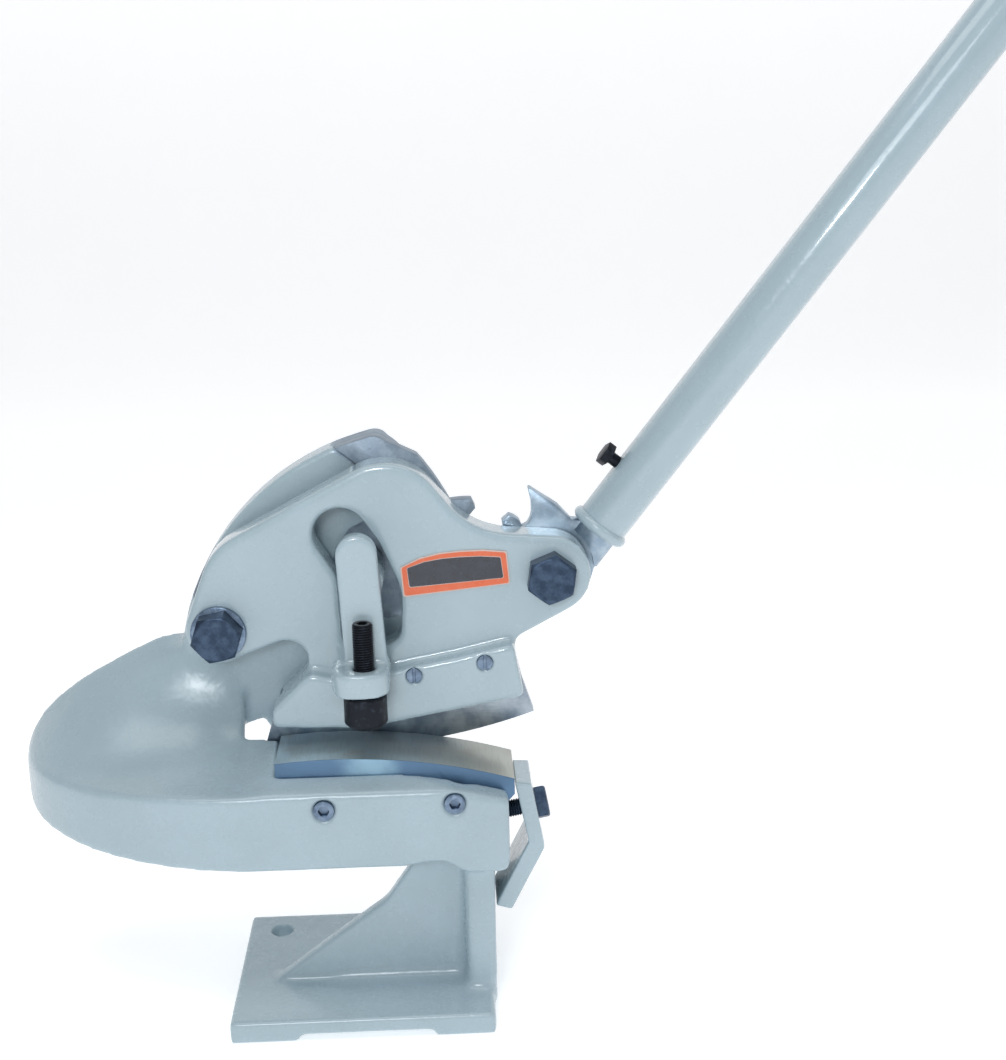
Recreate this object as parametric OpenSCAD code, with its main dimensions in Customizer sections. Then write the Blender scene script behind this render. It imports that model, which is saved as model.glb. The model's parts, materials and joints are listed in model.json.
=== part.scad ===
// Hand lever plate shear: a cast frame with a fixed curved lower blade, a pivoting blade arm,
// and a geared hand lever that rolls along a toothed sector to press the arm down.
// Frame: origin at the centre of the foot's underside, +X towards the open end of the blades,
// -Y towards the operator, +Z up.

/* [Foot] */
// Width of the foot along X
foot_w = 210; // [190:1:240]
// Depth of the foot along Y
foot_d = 176; // [170:1:200]
// Thickness of the foot
foot_t = 18; // [16:1:24]
// Diameter of the two bolt holes in the foot
foot_hole_d = 18; // [13:0.5:20]
// Distance between the two bolt holes
foot_hole_gap = 135; // [125:1:140]

/* [Table and lower blade] */
// Height of the crown of the lower blade above the bench
blade_crown_z = 216.5; // [214:0.5:218]
// Radius of the curve that both blades are ground to
blade_curve_r = 470; // [460:5:520]
// Width of the lower blade along Y
lower_blade_w = 60; // [50:1:62]
// Height of the table's front skirt where it meets the post
skirt_z = 133; // [128:1:138]
// Thickness of the table's cast skin
table_skin = 20; // [16:1:24]
// Thickness of the table's front skirt
skirt_t = 14; // [12:1:18]

/* [Blade arm] */
// Height of the arm's pivot above the bench
pivot_z = 309; // [308:0.5:310]
// Thickness of the blade arm
arm_t = 30; // [28:1:30]
// Thickness of the upper blade
upper_blade_t = 14; // [10:1:15]
// Diameter of both pivot bolts
pivot_d = 24; // [20:1:26]

/* [Gearing] */
// Thickness of the toothed sector
sector_t = 14; // [12:1:18]

/* [Handle] */
// Outer diameter of the handle tube
tube_d = 42.4; // [42:0.1:44]
// Length of the handle tube
tube_len = 950; // [600:10:1200]
// Wall of the handle tube
tube_wall = 3.2; // [2.6:0.1:3.4]

/* [Hold-down] */
// Thread diameter of the hold-down screw
hold_screw_d = 16; // [14:1:18]
// Diameter of the hold-down foot
hold_foot_d = 34; // [30:1:36]

/* [Hidden] */
$fn = 64;

// Planes along Y, from the operator's side to the back
flange_y = -6;
arm_y = 8;
cut_y = 22;
arm_back_y = arm_y + arm_t;
sector_y = arm_back_y + 0.2;
arch_y = 46;
sector_back_y = sector_y + sector_t;
back_y = 78;
table_y = -62;
blade_y = cut_y - lower_blade_w;
gear_y = sector_y + 0.3;
gear_t = sector_t - 0.6;
gear_back_y = gear_y + gear_t;

// Places along X and Z
foot_x0 = -104;
foot_x1 = foot_x0 + foot_w;
relief_y = 30;
post_x0 = 84;
post_x1 = foot_x1 + 2.5;
table_x1 = 120.5;
seat_x0 = -62;
seat_z = 176;
blade_x1 = 126;
crown_x = -15;
slot_x0 = -92;

// Gearing: module, and the teeth on full circles of the lever's gear and the sector
tooth_module = 8;
lever_teeth = 12;
sector_teeth = 55;

// Pivots as [x, z]
arm_pivot = [-105, pivot_z];
pitch_lever = tooth_module * lever_teeth / 2;
pitch_sector = tooth_module * sector_teeth / 2;
pivot_gap = pitch_lever + pitch_sector;
pivot_line_deg = 8.24;
lever_pivot = arm_pivot + pivot_gap * [cos(pivot_line_deg), sin(pivot_line_deg)];

// Teeth: involute flanks with a 25 degree pressure angle
pressure_deg = 25;
backlash = 0.5;
addendum = 0.6 * tooth_module;
sector_root_r = pitch_sector - 1.375 * tooth_module;
lever_root_r = pitch_lever - 1.25 * tooth_module;
sector_inner_r = 170;
sector_tooth0_deg = 24.05;
sector_tooth_n = 6;
lever_tooth_n = 5;
// The lever's gaps line up with the sector's teeth on the line between the pivots
sector_step = 360 / sector_teeth;
lever_step = 360 / lever_teeth;
mesh_tooth_deg = sector_tooth0_deg - 3 * sector_step;
lever_gap_deg = 180 + pivot_line_deg + (pivot_line_deg - mesh_tooth_deg) * sector_teeth / lever_teeth;
lever_tooth0_deg = lever_gap_deg - 2.5 * lever_step;

// Fits and fasteners
run_gap = 0.05;
bush_wall = 4;
bush_r = pivot_d / 2 + bush_wall;
hex_af = 1.5 * pivot_d;
hex_t = 15;
nut_t = 19;
washer_t = 4;
washer_r = 22;
blade_screw_d = 10;
blade_screw_xz = [[-23.5, 184], [78.2, 186]];
upper_screw_xz = [[48.9, 272], [105.5, 281]];
sector_screw_deg = [0, 23, 46];
sector_screw_r = 189;
sector_screw_d = 12;
sector_screw_depth = sector_t - 4;

// Handle axis: its angle at rest, and a distance to the right of the lever's pivot
handle_deg = 52.1;
handle_side = 15.4;
handle_y = gear_y + gear_t / 2;
shank_r = tube_d / 2 - tube_wall - 0.1;
collar_s0 = 45;
tube_s0 = 54;
shank_s1 = 132;
lock_s = 100;
tube_s1 = tube_s0 + tube_len;

// Hold-down
hold_x = 11;
hold_y = -32;
hold_boss_z0 = 270;
hold_boss_t = 20;
hold_foot_z0 = 242;
hold_neck_xz = [14, 352];

function unit(v) = v / norm(v);

// Points of one corner rounded to radius r
function corner(a, b, c, r, n = 14) =
    let(u = unit(a - b), w = unit(c - b), half = acos(u * w) / 2,
        centre = b + unit(u + w) * r / sin(half), reach = r / tan(half),
        p = b + u * reach - centre, q = b + w * reach - centre,
        a0 = atan2(p[1], p[0]), turn = atan2(p[0] * q[1] - p[1] * q[0], p * q))
    [for (i = [0:n]) centre + r * [cos(a0 + turn * i / n), sin(a0 + turn * i / n)]];

// Outline through corner points given as [x, z, radius]
function rounded(pts) =
    let(n = len(pts))
    [for (i = [0:n - 1]) let(a = pts[(i + n - 1) % n], b = pts[i], c = pts[(i + 1) % n])
        each (b[2] == 0 ? [[b[0], b[1]]]
            : corner([a[0], a[1]], [b[0], b[1]], [c[0], c[1]], b[2]))];

// Height of the ground curve of the lower blade
function crown(x) = blade_crown_z - blade_curve_r
    + sqrt(pow(blade_curve_r, 2) - pow(x - crown_x, 2));

// Places a shape drawn in the XZ plane so that it spans y0 to y1
module slab(y0, y1) {
    translate([0, y1, 0]) rotate([90, 0, 0]) linear_extrude(y1 - y0) children();
}

// Cylinder along Y through [x, z]
module pin_y(xz, y0, y1, r) {
    translate([xz[0], y1, xz[1]]) rotate([90, 0, 0]) cylinder(h = y1 - y0, r = r);
}

// Hexagonal prism along Y, with chamfered corners at the y0 end
module hex_y(xz, y0, y1, af, turn = 0) {
    height = y1 - y0;
    across = af / cos(30) / 2;
    translate([xz[0], y1, xz[1]]) rotate([90, 0, 0]) rotate([0, 0, turn])
        intersection() {
            cylinder(h = height, r = across, $fn = 6);
            rotate_extrude()
                polygon([[0, 0], [across, 0], [across, height - 1.8],
                    [af / 2 - 0.6, height], [0, height]]);
        }
}

// Moves children to the handle's axis, with Z along the handle
module on_handle(s = 0) {
    along = [cos(handle_deg), sin(handle_deg)];
    side = [sin(handle_deg), -cos(handle_deg)];
    at = lever_pivot + s * along + handle_side * side;
    translate([at[0], handle_y, at[1]]) rotate([0, 90 - handle_deg, 0]) children();
}

// ---------- teeth ----------
function involute_deg(a) = tan(a) * 180 / PI - a;

// Half the angle that a tooth spans at radius r, on a gear of the given pitch radius
function half_tooth(r, pitch, count) =
    let(base = pitch * cos(pressure_deg))
    90 / count - backlash / 4 / pitch * 180 / PI
    + involute_deg(pressure_deg) - involute_deg(acos(min(1, base / r)));

function polar(r, a) = r * [cos(a), sin(a)];

// One tooth, anticlockwise, from root to tip to root
function tooth(centre_deg, pitch, count, root) =
    let(base = pitch * cos(pressure_deg), start = max(base, root), tip = pitch + addendum,
        steps = 5, relief = base > root ? 1.5 : 0,
        rise = [for (i = [0:steps]) start + (tip - start) * i / steps])
    concat(
        [polar(root, centre_deg - half_tooth(start, pitch, count) + relief)],
        [for (r = rise) polar(r, centre_deg - half_tooth(r, pitch, count))],
        [for (i = [steps:-1:0]) polar(rise[i], centre_deg + half_tooth(rise[i], pitch, count))],
        [polar(root, centre_deg + half_tooth(start, pitch, count) - relief)]);

// ---------- frame casting ----------
// The table's left end is a quarter ellipse about this centre
lobe_c = [-90, back_y - 1];
lobe_a = 190;
lobe_b = lobe_c[1] - table_y;
front_z = 197;
lobe_top_z = 289;
lobe_steps = 16;

// Outline point and inner point for step i; the last three steps run straight to the blade seat
function rim(i) = i <= lobe_steps
    ? let(a = 180 + 90 * i / lobe_steps) lobe_c + [lobe_a * cos(a), lobe_b * sin(a)]
    : [lobe_c[0] + (seat_x0 - 2 - lobe_c[0]) * (i - lobe_steps) / 3, table_y];
function hub(i) = [rim(i)[0] < lobe_c[0] ? lobe_c[0] + 0.35 * (rim(i)[0] - lobe_c[0]) : rim(i)[0],
    lobe_c[1]];
// Rise of the wide fillet between the table and the arch's face
fillet_r = 30;
function arch_fillet(x, y) = min(1, max(0, (x + 200) / 56)) * (y > arch_y
    ? fillet_r * (1 - (y - arch_y) / (lobe_c[1] - arch_y))
    : fillet_r - sqrt(pow(fillet_r, 2) - pow(max(0, y - arch_y + fillet_r), 2)));
// How sharply the top sweeps up: crowned at the far end, hollow beside the blade
function sweep(i) = 0.5 * pow(7, min(1, i / lobe_steps));
function flat_share(i) = max(0, (i - lobe_steps) / 3);
function strip_z(y) = front_z + 7 * min(1, (y - table_y) / (blade_y - table_y))
    + 8 * max(0, (y - blade_y) / lower_blade_w);
function top_z(i, t) =
    let(y = rim(i)[1] + (hub(i)[1] - rim(i)[1]) * t,
        x = rim(i)[0] + (hub(i)[0] - rim(i)[0]) * t,
        low = front_z - 7 * pow(1 - min(1, i / lobe_steps), 2))
    (1 - flat_share(i)) * (low + (lobe_top_z - low) * pow(t, sweep(i)) + arch_fillet(x, y))
    + flat_share(i) * strip_z(y);
function skirt_low_z(i) = skirt_z + 24 * pow(1 - min(1, i / lobe_steps), 1.2);
// Stations from the rim inwards: across the skirt, its inner face, then even steps
skirt_n = 4;
function inset(i) =
    let(run = norm(hub(i) - rim(i)), a = skirt_t / run, b = (skirt_t + 3) / run)
    concat([0, 0.12 * a, 0.4 * a, a, b], [for (k = [1:13]) b + (1 - b) * k / 13]);

module grid_solid(top, low) {
    n = len(top);
    m = len(top[0]);
    points = concat([for (row = top) each row], [for (row = low) each row]);
    lower = n * m;
    function quad(a, b, c, d) = [[a, b, c], [a, c, d]];
    cells = [for (i = [0:n - 2]) for (j = [0:m - 2]) [i * m + j, i * m + j + 1,
        (i + 1) * m + j + 1, (i + 1) * m + j]];
    ends = concat(
        [for (j = [0:m - 2]) each quad(j, lower + j, lower + j + 1, j + 1)],
        [for (j = [0:m - 2]) let(k = (n - 1) * m + j) each quad(k + 1, lower + k + 1, lower + k, k)]);
    sides = concat(
        [for (i = [0:n - 2]) let(k = i * m) each quad(k + m, lower + k + m, lower + k, k)],
        [for (i = [0:n - 2]) let(k = i * m + m - 1) each quad(k, lower + k, lower + k + m, k + m)]);
    polyhedron(points = points, faces = concat(
        [for (c = cells) each quad(c[0], c[1], c[2], c[3])],
        [for (c = cells) each quad(lower + c[3], lower + c[2], lower + c[1], lower + c[0])],
        ends, sides));
}

module table_lobe() {
    last = lobe_steps + 3;
    top = [for (i = [0:last]) [for (t = inset(i))
        let(p = rim(i) + (hub(i) - rim(i)) * t) [p[0], p[1], top_z(i, t)]]];
    low = [for (i = [0:last]) let(ts = inset(i)) [for (j = [0:len(ts) - 1])
        let(p = top[i][j]) [p[0], p[1],
            j < skirt_n ? min(skirt_low_z(i), p[2] - table_skin) : p[2] - table_skin]]];
    grid_solid(top, low);
}

module table_block() {
    ground = [for (i = [0:24]) let(x = table_x1 - (table_x1 - seat_x0 + 4) * i / 24)
        [x, min(crown(max(x, crown_x)) - 10, 204)]];
    intersection() {
        slab(table_y, cut_y)
            polygon(concat([[seat_x0 - 4, skirt_z], [40, skirt_z], [56, skirt_z + 3],
                [70, skirt_z + 3]], corner([70, 136], [84, 126], [110, 126], 6),
                corner([84, 126], [table_x1, 126], [table_x1, 160], 8), ground));
        translate([-150, 0, 0]) rotate([90, 0, 90]) linear_extrude(300)
            polygon([[table_y, 100], [cut_y + 1, 100], [cut_y + 1, 230], [blade_y, 230],
                [blade_y, 204], [table_y, front_z]]);
    }
}

module gusset() {
    slab(-26, -12)
        polygon(rounded([[-84, 10.2, 0], [20.5, 87.3, 30], [42, 118, 25], [44, 134, 0],
            [90, 134, 0], [90, 10.2, 0]]));
}

// The arch's left edge is an arc about this centre
arch_c = [65, 253];
arch_r = 209.3;
arch_outline = [[-150, 206, 0],
    for (a = [170:-4:106]) [arch_c[0] + arch_r * cos(a), arch_c[1] + arch_r * sin(a), 0],
    [26, 459.5, 14], [120, 370, 0], [120, 266, 0], [95, 262, 0], [35, 252, 30], [-56, 239, 12],
    [-78, 220, 20], [-92, 215.5, 0]];

module arch() {
    difference() {
        intersection() {
            slab(arch_y, back_y) polygon(rounded(arch_outline));
            pin_y(arm_pivot, arch_y - 1, back_y + 1, sector_root_r - 4);
        }
        difference() {
            pin_y(arm_pivot, arch_y - 1, sector_back_y, 260);
            pin_y(arm_pivot, arch_y - 2, sector_back_y + 1, sector_inner_r);
        }
    }
    pin_y(arm_pivot, sector_y, arch_y + 1, 28);
    // Rib along the arch's foot beside the slot
    slab(40, arch_y + 1) polygon([[-95, 214.5], [-78, 220], [-67, 230], [-66, 238], [-95, 235]]);
}

module frame_casting() {
    color([0.72, 0.77, 0.75]) difference() {
        union() {
            slab(-foot_d / 2, foot_d / 2)
                polygon([[foot_x0, 0], [foot_x1, 0], [foot_x1, foot_t], [foot_x0, foot_t]]);
            gusset();
            translate([post_x0, -50, 6]) cube([post_x1 - post_x0, 84, 124]);
            table_block();
            table_lobe();
            arch();
        }
        // Relief under the foot, open to the front and to the back
        for (y = [-foot_d / 2 - 1, relief_y]) slab(y, y + foot_d / 2 + 1 - relief_y)
            polygon([[-50.5, -1], [-50.5, 0], [-47.5, 5], [55.5, 5], [58.5, 0], [58.5, -1]]);
        // Seat of the lower blade
        translate([seat_x0, blade_y, seat_z]) cube([300, lower_blade_w + 1, 60]);
        // Slot that the upper blade and the cut strip pass down through
        translate([slot_x0, cut_y, 100]) cube([300, arch_y - cut_y, 152]);
        for (x = [-75, -75 + foot_hole_gap])
            translate([x, 59, -1]) cylinder(h = foot_t + 2, r = foot_hole_d / 2);
        pin_y(arm_pivot, sector_y - 1, back_y + 1, pivot_d / 2);
        pin_y(hold_neck_xz, arch_y - 1, back_y + 1, hold_screw_d / 2);
        // Milled face around the hold-down's seat
        pin_y([27.8, 348], arch_y - 1, arch_y + 1.5, 42);
        for (p = blade_screw_xz) {
            pin_y(p, table_y - 1, blade_y + 1, blade_screw_d / 2);
            pin_y(p, table_y - 1, table_y + 9, 8.2);
        }
        for (a = sector_screw_deg) {
            at = arm_pivot + polar(sector_screw_r, a);
            pin_y(at, sector_back_y - 1, back_y + 1, sector_screw_d / 2);
            pin_y(at, back_y - 10, back_y + 1, 9.2);
        }
        clamp_axis(-40) cylinder(h = 44, r = clamp_d / 2);
    }
}

// ---------- toothed sector ----------
module tooth_sector() {
    first = sector_tooth0_deg - (sector_tooth_n - 1) * sector_step;
    teeth = [for (k = [0:sector_tooth_n - 1])
        each tooth(first + k * sector_step, pitch_sector, sector_teeth, sector_root_r)];
    low_deg = first - 4;
    high_deg = 62;
    edge = [for (a = [sector_tooth0_deg + 4:3:high_deg]) polar(sector_root_r, a)];
    turn = (low_deg - high_deg) / 24;
    inner = [for (i = [0:24]) polar((sector_inner_r + 0.05) / cos(turn / 2), high_deg + turn * i)];
    trim = [for (p = rounded(arch_outline)) p - arm_pivot];
    color([0.62, 0.63, 0.64]) difference() {
        intersection() {
            slab(sector_y, sector_back_y) translate(arm_pivot)
                polygon(concat([polar(sector_root_r, low_deg)], teeth, edge, inner));
            slab(sector_y - 1, sector_back_y + 1)
                polygon(concat([for (p = rounded(arch_outline)) if (p[0] < 40 && p[1] > 300) p],
                    [[60, 440], [240, 440], [240, 200], [-20, 200]]));
        }
        for (a = sector_screw_deg)
            pin_y(arm_pivot + polar(sector_screw_r, a), sector_back_y - sector_screw_depth,
                sector_back_y + 1, sector_screw_d / 2);
    }
}

module sector_screws() {
    color([0.13, 0.13, 0.14]) for (a = sector_screw_deg) {
        at = arm_pivot + polar(sector_screw_r, a);
        pin_y(at, sector_back_y - sector_screw_depth, back_y - 10, sector_screw_d / 2);
        difference() {
            pin_y(at, back_y - 10, back_y, 9);
            hex_y(at, back_y - 6, back_y + 1, 10);
        }
    }
}

// ---------- lower blade ----------
module lower_blade() {
    top = [for (i = [0:32]) let(x = blade_x1 - (blade_x1 - seat_x0) * i / 32) [x, crown(x)]];
    color([0.5, 0.48, 0.46]) difference() {
        slab(blade_y, cut_y)
            polygon(concat([[seat_x0, seat_z], [table_x1, seat_z], [blade_x1, seat_z + 6]], top));
        for (p = blade_screw_xz) pin_y(p, blade_y - 1, blade_y + 18, blade_screw_d / 2);
    }
}

module lower_blade_screws() {
    color([0.35, 0.4, 0.45]) for (p = blade_screw_xz) {
        pin_y(p, table_y + 9, blade_y + 17, blade_screw_d / 2);
        difference() {
            pin_y(p, table_y - 0.6, table_y + 9, 8);
            hex_y(p, table_y - 2, table_y + 5, 8);
        }
    }
}

// ---------- strap that clamps the lower blade's end ----------
clamp_d = 14;
clamp_lean = 10.5;
clamp_y = -10;
clamp_outline = [[126.1, 190], [139.5, 189], [149.5, 134, 6], [122, 80], [108.6, 84],
    [136.3, 139, 4]];
// Moves children to the clamp screw's axis; s counts outwards from the strap's outer face
module clamp_axis(s = 0) {
    translate([144.6, clamp_y, 161]) rotate([0, 90 - clamp_lean, 0]) translate([0, 0, s]) children();
}

module blade_clamp() {
    color([0.72, 0.77, 0.75]) difference() {
        slab(-36, 14) polygon(rounded([for (p = clamp_outline) [p[0], p[1], len(p) > 2 ? p[2] : 0]]));
        clamp_axis(-30) cylinder(h = 40, r = clamp_d / 2);
    }
}

module clamp_screw() {
    color([0.16, 0.2, 0.25]) {
        clamp_axis(-40) cylinder(h = 40.1, r = clamp_d / 2);
        clamp_axis(0.1) intersection() {
            cylinder(h = 9, r = 24 / cos(30) / 2, $fn = 6);
            cylinder(h = 9, r1 = 14.2, r2 = 12.6);
        }
    }
}

// ---------- arm pivot ----------
module arm_pivot_bolt() {
    color([0.28, 0.3, 0.36]) {
        pin_y(arm_pivot, arm_y - washer_t, back_y + 26, pivot_d / 2);
        hex_y(arm_pivot, arm_y - washer_t - hex_t, arm_y - washer_t, hex_af, 12);
    }
}

module arm_pivot_washers() {
    color([0.66, 0.7, 0.74]) for (y = [arm_y - washer_t, back_y]) difference() {
        pin_y(arm_pivot, y, y + washer_t - 0.1, washer_r);
        pin_y(arm_pivot, y - 1, y + washer_t + 1, pivot_d / 2);
    }
}

module nut(xz, y0) {
    difference() {
        intersection() {
            translate([xz[0], y0 + nut_t, xz[1]]) rotate([90, 0, 0])
                cylinder(h = nut_t, r = hex_af / cos(30) / 2, $fn = 6);
            translate([xz[0], y0 + nut_t, xz[1]]) rotate([90, 0, 0])
                cylinder(h = nut_t, r1 = hex_af / 2, r2 = hex_af / 2 + 14);
        }
        pin_y(xz, y0 - 1, y0 + nut_t + 1, pivot_d / 2);
    }
}

module arm_pivot_nut() {
    color([0.28, 0.3, 0.36]) nut(arm_pivot, back_y + washer_t - 0.1);
}

// ---------- hold-down ----------
module hold_down_bracket() {
    color([0.74, 0.79, 0.77]) difference() {
        union() {
            // Leg in front of the arm, with a round top
            slab(-24, -8)
                polygon(concat([for (a = [0:6:180]) [hold_x - 3, 377] + polar(16.3, a)],
                    [[hold_x - 14.5, 272], [hold_x + 19, 272]]));
            // Neck through the arm's window to the seat milled in the arch
            pin_y(hold_neck_xz, -9, arch_y + 1.5, 14);
            // Boss for the screw
            translate([0, 0, hold_boss_z0]) linear_extrude(hold_boss_t)
                polygon(rounded([[hold_x - 25, -8, 0], [hold_x - 26, -34, 10],
                    [hold_x - 19, hold_y - 20, 12], [hold_x + 19, hold_y - 20, 16],
                    [hold_x + 20, -8, 0]]));
        }
        translate([hold_x, hold_y, hold_boss_z0 - 1])
            cylinder(h = hold_boss_t + 2, r = hold_screw_d / 2 + run_gap);
        pin_y(hold_neck_xz, arch_y - 30, arch_y + 2, hold_screw_d / 2);
    }
}

module hold_down_bolt() {
    color([0.16, 0.2, 0.25]) {
        pin_y(hold_neck_xz, arch_y - 29, back_y + 0.1, hold_screw_d / 2);
        translate([hold_neck_xz[0], back_y + 10, hold_neck_xz[1]]) rotate([90, 0, 0])
            cylinder(h = 10, r = 24 / cos(30) / 2, $fn = 6);
    }
}

module hold_down_screw() {
    color([0.08, 0.08, 0.09]) difference() {
        translate([hold_x, hold_y, hold_foot_z0 + 16])
            cylinder(h = 68, r = hold_screw_d / 2);
        translate([hold_x, hold_y, hold_foot_z0 + 76]) cylinder(h = 9, r = 8 / cos(30) / 2, $fn = 6);
    }
}

module hold_down_foot() {
    color([0.1, 0.11, 0.12]) difference() {
        translate([hold_x, hold_y, hold_foot_z0]) rotate_extrude()
            polygon([[0, 0], [hold_foot_d / 2 - 4, 0], [hold_foot_d / 2, 4], [hold_foot_d / 2, 25],
                [hold_foot_d / 2 - 1.5, 27], [0, 27]]);
        translate([hold_x, hold_y, hold_foot_z0 + 15.9])
            cylinder(h = 20, r = hold_screw_d / 2 + run_gap);
    }
}

// ---------- blade arm ----------
arm_lug_r = 27;
arm_end_r = 32;
arm_outline = [[-130.4, 318.2, 0], [-107.7, 376.4, 50], [43.1, 455.2, 48], [98.3, 384.3, 68],
    [160.2, 379.4, 0], [160.2, 347.4, 0], [175.2, 319.1, 0], [129.3, 294.8, 10], [136.8, 251, 4],
    [8, 228, 200], [-65, 231, 4], [-65.5, 246, 10], [15.2, 325, 17], [-92, 286.4, 0],
    [-105, 309, 0]];
flange_outline = [[-65, 231, 4], [-65.5, 246, 10], [-40, 271, 0], [-33, 276, 3], [-16, 272, 6],
    [30, 276, 60], [84, 286, 0], [129, 296, 4], [136.8, 251, 4], [8, 228, 200]];
window_outline = [[-24.5, 376, 0], [-9, 351, 20], [-7, 295, 8], [18, 289, 14], [39, 298, 12],
    [41.5, 338, 50], [25, 378, 20], [11, 399, 0], [-6, 386, 0]];
blade_top_line = [[-61, 250], [0, 270], [30, 287], [127, 298]];

module blade_arm() {
    color([0.72, 0.77, 0.75]) difference() {
        union() {
            slab(arm_y, arm_back_y) polygon(rounded(arm_outline));
            pin_y(arm_pivot, arm_y, arm_back_y, arm_lug_r);
            pin_y(lever_pivot, arm_y, arm_back_y, arm_end_r);
            slab(flange_y, arm_y + 1) polygon(rounded(flange_outline));
        }
        slab(flange_y - 3, arm_back_y + 1) polygon(rounded(window_outline));
        pin_y([-6, 386], arm_y - 1, arm_back_y + 1, 21);
        // Seat of the upper blade
        slab(cut_y + 0.1, arm_back_y + 1)
            polygon(concat([[-100, 180], [-100, 237]], blade_top_line, [[160, 301], [160, 180]]));
        pin_y(arm_pivot, arm_y - 1, arm_back_y + 1, bush_r);
        pin_y(lever_pivot, arm_y - 1, arm_back_y + 1, pivot_d / 2);
        for (p = upper_screw_xz) {
            pin_y(p, flange_y - 1, cut_y + 1, blade_screw_d / 2);
            pin_y(p, flange_y - 1, flange_y + 4, 6.4);
        }
    }
}

module arm_bush() {
    color([0.72, 0.58, 0.32]) difference() {
        pin_y(arm_pivot, arm_y, arm_back_y, bush_r);
        pin_y(arm_pivot, arm_y - 1, arm_back_y + 1, pivot_d / 2 + run_gap);
    }
}

// The cutting edge is ground to the same curve as the lower blade, hollow side up
module upper_blade() {
    low_x = -10.5;
    low_z = 201.5;
    edge = [for (i = [0:24]) let(x = -75 + 220.3 * i / 24)
        [x, low_z + blade_curve_r - sqrt(pow(blade_curve_r, 2) - pow(x - low_x, 2))]];
    color([0.66, 0.67, 0.68]) difference() {
        slab(cut_y + 0.1, cut_y + 0.1 + upper_blade_t)
            polygon(concat(edge, [[136.4, 255], [127, 298], [30, 287], [0, 270], [-61, 250]]));
        for (p = upper_screw_xz) pin_y(p, cut_y - 1, cut_y + 12, blade_screw_d / 2);
    }
}

module upper_blade_screws() {
    color([0.5, 0.53, 0.55]) for (p = upper_screw_xz) {
        pin_y(p, flange_y + 4, cut_y + 12, blade_screw_d / 2);
        difference() {
            pin_y(p, flange_y - 0.3, flange_y + 4, 6.2);
            translate([p[0] - 1, flange_y - 1, p[1] - 8]) cube([2, 3, 16]);
        }
    }
}

plate_outline = [[42.5, 333.8, 2], [84, 337.8, 0], [127.5, 342.4, 2], [125.2, 369, 2], [107, 370.9, 0],
    [88.4, 370.7, 0], [72, 369.3, 0], [56, 365.6, 0], [40.8, 358.4, 2]];
module name_plate() {
    color([0.25, 0.3, 0.36]) slab(arm_y - 1, arm_y) polygon(rounded(plate_outline));
}

// ---------- lever pivot ----------
module lever_pivot_bolt() {
    color([0.28, 0.3, 0.36]) {
        pin_y(lever_pivot, arm_y, gear_back_y + 28, pivot_d / 2);
        hex_y(lever_pivot, arm_y - hex_t, arm_y, hex_af, 22);
    }
}

module lever_pivot_washer() {
    color([0.66, 0.7, 0.74]) difference() {
        pin_y(lever_pivot, gear_back_y + 0.1, gear_back_y + washer_t, washer_r);
        pin_y(lever_pivot, gear_back_y - 1, gear_back_y + washer_t + 1, pivot_d / 2);
    }
}

module lever_pivot_nut() {
    color([0.28, 0.3, 0.36]) nut(lever_pivot, gear_back_y + washer_t);
}

// ---------- geared lever ----------
function handle_point(s, side) = s * [cos(handle_deg), sin(handle_deg)]
    + side * [sin(handle_deg), -cos(handle_deg)];

module gear_lever() {
    teeth = [for (k = [0:lever_tooth_n - 1])
        each tooth(lever_tooth0_deg + k * lever_step, pitch_lever, lever_teeth, lever_root_r)];
    horn_deg = lever_tooth0_deg - lever_step;
    last_deg = lever_tooth0_deg + (lever_tooth_n - 0.5) * lever_step;
    belly = [for (a = [last_deg:6:330]) polar(lever_root_r, a)];
    color([0.68, 0.7, 0.72]) difference() {
        union() {
            slab(gear_y, gear_back_y) translate(lever_pivot)
                polygon(concat([polar(66, 102.6), polar(65.2, 104), polar(53.5, 104.3), polar(45, 107),
                    polar(41, 110.3), polar(lever_root_r, horn_deg + 15)], teeth, belly,
                    [handle_point(20, 31), handle_point(44.8, 32), handle_point(44.8, -2),
                    handle_point(41, -8), [8.3, 49]]));
            on_handle(22) cylinder(h = shank_s1 - 22, r = shank_r);
        }
        pin_y(lever_pivot, gear_y - 20, gear_back_y + 20, bush_r);
        // Faces of the hub stay flat where the round shank runs into it
        pin_y(lever_pivot, gear_y - 20, gear_y, 36);
        pin_y(lever_pivot, gear_back_y, gear_back_y + 20, 36);
        on_handle(lock_s) rotate([0, -90, 0]) cylinder(h = 40, r = 5);
    }
}

module lever_bush() {
    color([0.72, 0.58, 0.32]) difference() {
        pin_y(lever_pivot, gear_y, gear_back_y, bush_r);
        pin_y(lever_pivot, gear_y - 1, gear_back_y + 1, pivot_d / 2 + run_gap);
    }
}

module handle_collar() {
    color([0.72, 0.77, 0.75]) on_handle(collar_s0) difference() {
        rotate_extrude() polygon([[shank_r, 0], [tube_d / 2 + 1, 0], [tube_d / 2 + 3.3, 2.5],
            [tube_d / 2 + 3.3, 6.5], [tube_d / 2 + 1, 9], [shank_r, 9]]);
    }
}

module handle_tube() {
    color([0.72, 0.77, 0.75]) difference() {
        on_handle(tube_s0) difference() {
            cylinder(h = tube_len, r = tube_d / 2);
            translate([0, 0, -1]) cylinder(h = tube_len + 2, r = tube_d / 2 - tube_wall);
        }
        on_handle(lock_s) rotate([0, -90, 0]) cylinder(h = 40, r = 5);
    }
}

module handle_lock_screw() {
    color([0.12, 0.12, 0.13]) on_handle(lock_s) rotate([0, -90, 0]) {
        translate([0, 0, 8]) cylinder(h = 21.1, r = 5);
        translate([0, 0, 29]) cylinder(h = 7, r = 17 / cos(30) / 2, $fn = 6);
    }
}

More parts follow.
